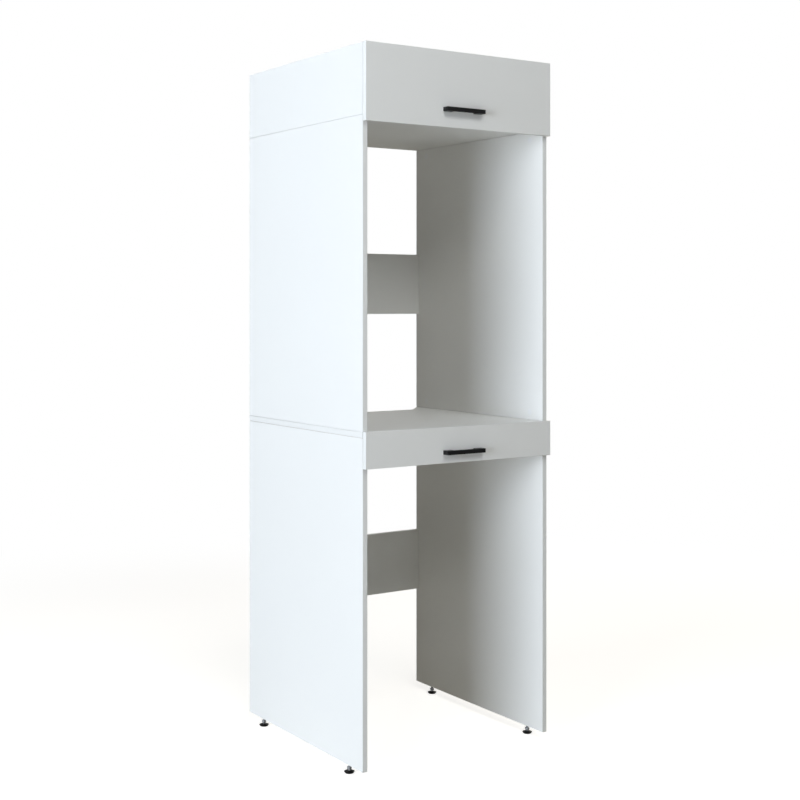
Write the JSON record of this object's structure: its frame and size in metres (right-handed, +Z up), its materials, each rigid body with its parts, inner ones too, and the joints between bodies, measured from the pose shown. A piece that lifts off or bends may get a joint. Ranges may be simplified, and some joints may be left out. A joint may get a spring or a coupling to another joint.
{
  "type": "washer and dryer cabinet",
  "caption": "Tall white board cabinet that holds a dryer above a washing machine, with rear rails, a shallow drawer under the shelf, a lift-up flap on the top box and levelling feet.",
  "frame": {"origin": "on the floor, under the middle of the cabinet's bounding box", "axes": "+X to the right seen from the front, +Y to the rear, +Z up; the fronts face -Y"},
  "size_m": [0.664, 0.71, 2.0276],
  "materials": {
    "white_board": "white melamine-faced chipboard, satin",
    "white_fibreboard": "white lacquered hardboard",
    "beech": "bare beech",
    "zinc_alloy": "bare die-cast",
    "zinc_plated_steel": "bright zinc plating",
    "polished_rod": "polished",
    "black_cylinder": "satin black paint",
    "black_handle": "matt black powder coat",
    "black_plastic": "matt moulded plastic",
    "white_cap": "satin adhesive foil",
    "bumper_rubber": "soft and translucent"
  },
  "bodies": {
    "cabinet": {"lower_side_left": "white_board", "lower_side_right": "white_board", "dryer_shelf": "white_board", "upper_side_left": "white_board", "upper_side_right": "white_board", "top_box_side_left": "white_board", "top_box_side_right": "white_board", "top_box_floor": "white_board", "top_board": "white_board", "top_box_back": "white_fibreboard", "upper_rear_rail": "white_board", "lower_rear_rail": "white_board", "wooden_dowels": "beech", "cam_discs": "zinc_alloy", "connecting_bolts": "zinc_plated_steel", "cam_cover_caps": "white_cap", "foot_inserts": "zinc_plated_steel", "front_bumpers": "bumper_rubber", "runner_outer_left": "zinc_plated_steel", "runner_outer_right": "zinc_plated_steel", "hinge_carcass_leaves": "zinc_plated_steel", "hinge_pins": "zinc_plated_steel", "strut_wall_brackets": "zinc_plated_steel", "carcass_screws": "zinc_plated_steel"},
    "drawer": {"drawer_front": "white_board", "drawer_handle": "black_handle", "drawer_handle_screws": "zinc_plated_steel", "drawer_box_front": "white_board", "drawer_box_side_left": "white_board", "drawer_box_side_right": "white_board", "drawer_box_back": "white_board", "drawer_bottom": "white_fibreboard", "drawer_box_screws": "zinc_plated_steel", "runner_inner_left": "zinc_plated_steel", "runner_inner_right": "zinc_plated_steel", "drawer_runner_screws": "zinc_plated_steel"},
    "runner_middle_left": {"runner_middle_left": "zinc_plated_steel"},
    "runner_middle_right": {"runner_middle_right": "zinc_plated_steel"},
    "outer_ball_cage_left": {"outer_ball_cage_left": "zinc_plated_steel"},
    "outer_ball_cage_right": {"outer_ball_cage_right": "zinc_plated_steel"},
    "inner_ball_cage_left": {"inner_ball_cage_left": "zinc_plated_steel"},
    "inner_ball_cage_right": {"inner_ball_cage_right": "zinc_plated_steel"},
    "flap": {"flap_panel": "white_board", "flap_handle": "black_handle", "flap_handle_screws": "zinc_plated_steel", "hinge_flap_leaves": "zinc_plated_steel", "strut_flap_brackets": "zinc_plated_steel", "flap_screws": "zinc_plated_steel"},
    "strut_cylinder_left": {"strut_cylinder_left": "black_cylinder"},
    "strut_cylinder_right": {"strut_cylinder_right": "black_cylinder"},
    "strut_rod_left": {"strut_rod_left": "polished_rod"},
    "strut_rod_right": {"strut_rod_right": "polished_rod"},
    "foot_pad_front_left": {"foot_pad_front_left": "black_plastic"},
    "foot_pad_front_right": {"foot_pad_front_right": "black_plastic"},
    "foot_pad_rear_left": {"foot_pad_rear_left": "black_plastic"},
    "foot_pad_rear_right": {"foot_pad_rear_right": "black_plastic"},
    "foot_stud_front_left": {"foot_stud_front_left": "zinc_plated_steel"},
    "foot_stud_front_right": {"foot_stud_front_right": "zinc_plated_steel"},
    "foot_stud_rear_left": {"foot_stud_rear_left": "zinc_plated_steel"},
    "foot_stud_rear_right": {"foot_stud_rear_right": "zinc_plated_steel"}
  },
  "joints": [
    {"name": "drawer_slide", "type": "slide", "parent": "cabinet", "child": "drawer", "axis": [0, -1, 0], "range_m": [0, 0.45]},
    {"name": "flap_hinge", "type": "hinge", "parent": "cabinet", "child": "flap", "pos_m": [0, -0.316, 2.02573], "axis": [-1, 0, 0], "range_deg": [0, 80]},
    {"name": "runner_middle_left_slide", "type": "slide", "parent": "cabinet", "child": "runner_middle_left", "axis": [0, -1, 0], "range_m": [0, 0.225]},
    {"name": "outer_ball_cage_left_slide", "type": "slide", "parent": "cabinet", "child": "outer_ball_cage_left", "axis": [0, -1, 0], "range_m": [0, 0.1125]},
    {"name": "inner_ball_cage_left_slide", "type": "slide", "parent": "cabinet", "child": "inner_ball_cage_left", "axis": [0, -1, 0], "range_m": [0, 0.3375]},
    {"name": "runner_middle_right_slide", "type": "slide", "parent": "cabinet", "child": "runner_middle_right", "axis": [0, -1, 0], "range_m": [0, 0.225]},
    {"name": "outer_ball_cage_right_slide", "type": "slide", "parent": "cabinet", "child": "outer_ball_cage_right", "axis": [0, -1, 0], "range_m": [0, 0.1125]},
    {"name": "inner_ball_cage_right_slide", "type": "slide", "parent": "cabinet", "child": "inner_ball_cage_right", "axis": [0, -1, 0], "range_m": [0, 0.3375]},
    {"name": "strut_left_pivot", "type": "hinge", "parent": "cabinet", "child": "strut_cylinder_left", "pos_m": [-0.293, -0.186, 1.87073], "axis": [1, 0, 0], "range_deg": [0, 8.6]},
    {"name": "strut_left_rod_slide", "type": "slide", "parent": "strut_cylinder_left", "child": "strut_rod_left", "axis": [0, -0.6912, 0.7226], "range_m": [0, 0.051]},
    {"name": "strut_right_pivot", "type": "hinge", "parent": "cabinet", "child": "strut_cylinder_right", "pos_m": [0.293, -0.186, 1.87073], "axis": [1, 0, 0], "range_deg": [0, 8.6]},
    {"name": "strut_right_rod_slide", "type": "slide", "parent": "strut_cylinder_right", "child": "strut_rod_right", "axis": [0, -0.6912, 0.7226], "range_m": [0, 0.051]},
    {"name": "foot_front_left_height", "type": "slide", "parent": "cabinet", "child": "foot_pad_front_left", "axis": [0, 0, -1], "range_m": [-0.006, 0.012]},
    {"name": "foot_front_left_screw", "type": "hinge", "parent": "foot_pad_front_left", "child": "foot_stud_front_left", "pos_m": [-0.317, -0.233, 0.01], "axis": [0, 0, -1], "range_deg": [-1729, 3457]},
    {"name": "foot_front_right_height", "type": "slide", "parent": "cabinet", "child": "foot_pad_front_right", "axis": [0, 0, -1], "range_m": [-0.006, 0.012]},
    {"name": "foot_front_right_screw", "type": "hinge", "parent": "foot_pad_front_right", "child": "foot_stud_front_right", "pos_m": [0.317, -0.233, 0.01], "axis": [0, 0, -1], "range_deg": [-1729, 3457]},
    {"name": "foot_rear_left_height", "type": "slide", "parent": "cabinet", "child": "foot_pad_rear_left", "axis": [0, 0, -1], "range_m": [-0.006, 0.012]},
    {"name": "foot_rear_left_screw", "type": "hinge", "parent": "foot_pad_rear_left", "child": "foot_stud_rear_left", "pos_m": [-0.317, 0.273, 0.01], "axis": [0, 0, -1], "range_deg": [-1729, 3457]},
    {"name": "foot_rear_right_height", "type": "slide", "parent": "cabinet", "child": "foot_pad_rear_right", "axis": [0, 0, -1], "range_m": [-0.006, 0.012]},
    {"name": "foot_rear_right_screw", "type": "hinge", "parent": "foot_pad_rear_right", "child": "foot_stud_rear_right", "pos_m": [0.317, 0.273, 0.01], "axis": [0, 0, -1], "range_deg": [-1729, 3457]}
  ],
  "couplings": [
    {"joint": "runner_middle_left_slide", "follows": "drawer_slide", "ratio": 0.5},
    {"joint": "outer_ball_cage_left_slide", "follows": "drawer_slide", "ratio": 0.25},
    {"joint": "inner_ball_cage_left_slide", "follows": "drawer_slide", "ratio": 0.75},
    {"joint": "runner_middle_right_slide", "follows": "drawer_slide", "ratio": 0.5},
    {"joint": "outer_ball_cage_right_slide", "follows": "drawer_slide", "ratio": 0.25},
    {"joint": "inner_ball_cage_right_slide", "follows": "drawer_slide", "ratio": 0.75},
    {"joint": "strut_left_pivot", "follows": "flap_hinge", "ratio": 0.10684},
    {"joint": "strut_left_rod_slide", "follows": "flap_hinge", "m_per_rad": 0.036265},
    {"joint": "strut_right_pivot", "follows": "flap_hinge", "ratio": 0.10684},
    {"joint": "strut_right_rod_slide", "follows": "flap_hinge", "m_per_rad": 0.036265},
    {"joint": "foot_front_left_screw", "follows": "foot_front_left_height", "rad_per_m": 5026.5},
    {"joint": "foot_front_right_screw", "follows": "foot_front_right_height", "rad_per_m": 5026.5},
    {"joint": "foot_rear_left_screw", "follows": "foot_rear_left_height", "rad_per_m": 5026.5},
    {"joint": "foot_rear_right_screw", "follows": "foot_rear_right_height", "rad_per_m": 5026.5}
  ]
}
